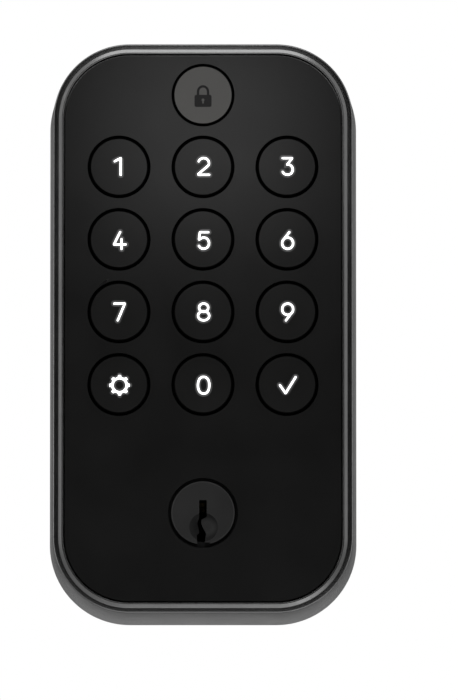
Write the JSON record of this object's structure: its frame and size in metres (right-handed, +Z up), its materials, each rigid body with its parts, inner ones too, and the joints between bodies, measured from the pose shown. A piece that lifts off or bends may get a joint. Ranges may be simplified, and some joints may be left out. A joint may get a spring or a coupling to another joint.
{
  "type": "keypad smart lock",
  "caption": "Outside unit of an electronic deadbolt: black push-button keypad in a grey die-cast case, with a key cylinder, tailpiece and mounting posts behind.",
  "frame": {"origin": "centre of the back plate, on the door's outside face", "axes": "+Y points into the door, through it; +Z up; +X to the right as seen by someone facing the keypad, which faces -Y"},
  "size_m": [0.0708, 0.083, 0.1332],
  "materials": {
    "case_metal": "dark grey suede, fine grained",
    "panel_plastic": "satin black",
    "key_plastic": "satin black with white lit figures",
    "button_metal": "matte dark grey",
    "cylinder_metal": "satin black",
    "brass": "turned",
    "steel": "zinc plated",
    "shield_steel": "tinned sheet",
    "silicone": "milky",
    "board": "green solder mask",
    "chip": "moulded black",
    "socket_plastic": "natural nylon",
    "back_plastic": "fine moulded texture",
    "rubber": "matte"
  },
  "bodies": {
    "casing": {"escutcheon": "case_metal", "face_panel": "panel_plastic", "back_plate": "back_plastic", "door_gasket": "rubber", "cable_grommet": "rubber", "silicone_keymat": "silicone", "circuit_board": "board", "controller_chip": "chip", "radio_module": "shield_steel", "cable_socket": "socket_plastic", "buzzer": "chip", "cylinder_body": "cylinder_metal", "pin_chamber_cover": "brass", "driver_pin_1": "brass", "driver_pin_2": "brass", "driver_pin_3": "brass", "driver_pin_4": "brass", "driver_pin_5": "brass", "pin_spring_1": "steel", "pin_spring_2": "steel", "pin_spring_3": "steel", "pin_spring_4": "steel", "pin_spring_5": "steel", "through_bolt_post_left": "steel", "through_bolt_post_right": "steel", "keypad_screw_1": "steel", "keypad_screw_2": "steel", "keypad_screw_3": "steel", "keypad_screw_4": "steel", "cylinder_screw_left": "steel", "cylinder_screw_right": "steel", "back_screw_1": "steel", "back_screw_2": "steel", "back_screw_3": "steel", "back_screw_4": "steel"},
    "key_1": {"key_1": "key_plastic"},
    "key_2": {"key_2": "key_plastic"},
    "key_3": {"key_3": "key_plastic"},
    "key_4": {"key_4": "key_plastic"},
    "key_5": {"key_5": "key_plastic"},
    "key_6": {"key_6": "key_plastic"},
    "key_7": {"key_7": "key_plastic"},
    "key_8": {"key_8": "key_plastic"},
    "key_9": {"key_9": "key_plastic"},
    "key_settings": {"key_settings": "key_plastic"},
    "key_0": {"key_0": "key_plastic"},
    "key_enter": {"key_enter": "key_plastic"},
    "lock_button": {"lock_button": "button_metal"},
    "plug": {"cylinder_plug": "cylinder_metal", "key_pin_1": "brass", "key_pin_2": "brass", "key_pin_3": "brass", "key_pin_4": "brass", "key_pin_5": "brass", "plug_cap": "brass"},
    "tailpiece": {"tailpiece": "steel"}
  },
  "joints": [
    {"name": "key_1_press", "type": "slide", "parent": "casing", "child": "key_1", "axis": [0, 1, 0], "range_m": [0, 0.0008], "stiffness_N_per_m": 800},
    {"name": "key_2_press", "type": "slide", "parent": "casing", "child": "key_2", "axis": [0, 1, 0], "range_m": [0, 0.0008], "stiffness_N_per_m": 800},
    {"name": "key_3_press", "type": "slide", "parent": "casing", "child": "key_3", "axis": [0, 1, 0], "range_m": [0, 0.0008], "stiffness_N_per_m": 800},
    {"name": "key_4_press", "type": "slide", "parent": "casing", "child": "key_4", "axis": [0, 1, 0], "range_m": [0, 0.0008], "stiffness_N_per_m": 800},
    {"name": "key_5_press", "type": "slide", "parent": "casing", "child": "key_5", "axis": [0, 1, 0], "range_m": [0, 0.0008], "stiffness_N_per_m": 800},
    {"name": "key_6_press", "type": "slide", "parent": "casing", "child": "key_6", "axis": [0, 1, 0], "range_m": [0, 0.0008], "stiffness_N_per_m": 800},
    {"name": "key_7_press", "type": "slide", "parent": "casing", "child": "key_7", "axis": [0, 1, 0], "range_m": [0, 0.0008], "stiffness_N_per_m": 800},
    {"name": "key_8_press", "type": "slide", "parent": "casing", "child": "key_8", "axis": [0, 1, 0], "range_m": [0, 0.0008], "stiffness_N_per_m": 800},
    {"name": "key_9_press", "type": "slide", "parent": "casing", "child": "key_9", "axis": [0, 1, 0], "range_m": [0, 0.0008], "stiffness_N_per_m": 800},
    {"name": "key_settings_press", "type": "slide", "parent": "casing", "child": "key_settings", "axis": [0, 1, 0], "range_m": [0, 0.0008], "stiffness_N_per_m": 800},
    {"name": "key_0_press", "type": "slide", "parent": "casing", "child": "key_0", "axis": [0, 1, 0], "range_m": [0, 0.0008], "stiffness_N_per_m": 800},
    {"name": "key_enter_press", "type": "slide", "parent": "casing", "child": "key_enter", "axis": [0, 1, 0], "range_m": [0, 0.0008], "stiffness_N_per_m": 800},
    {"name": "lock_button_press", "type": "slide", "parent": "casing", "child": "lock_button", "axis": [0, 1, 0], "range_m": [0, 0.0008], "stiffness_N_per_m": 800},
    {"name": "plug_turn", "type": "hinge", "parent": "casing", "child": "plug", "pos_m": [0, 0, -0.04265], "axis": [0, 1, 0], "range_deg": [-90, 90]},
    {"name": "tailpiece_turn", "type": "hinge", "parent": "plug", "child": "tailpiece", "pos_m": [0, 0, -0.04265], "axis": [0, 1, 0], "range_deg": [-90, 0]}
  ]
}
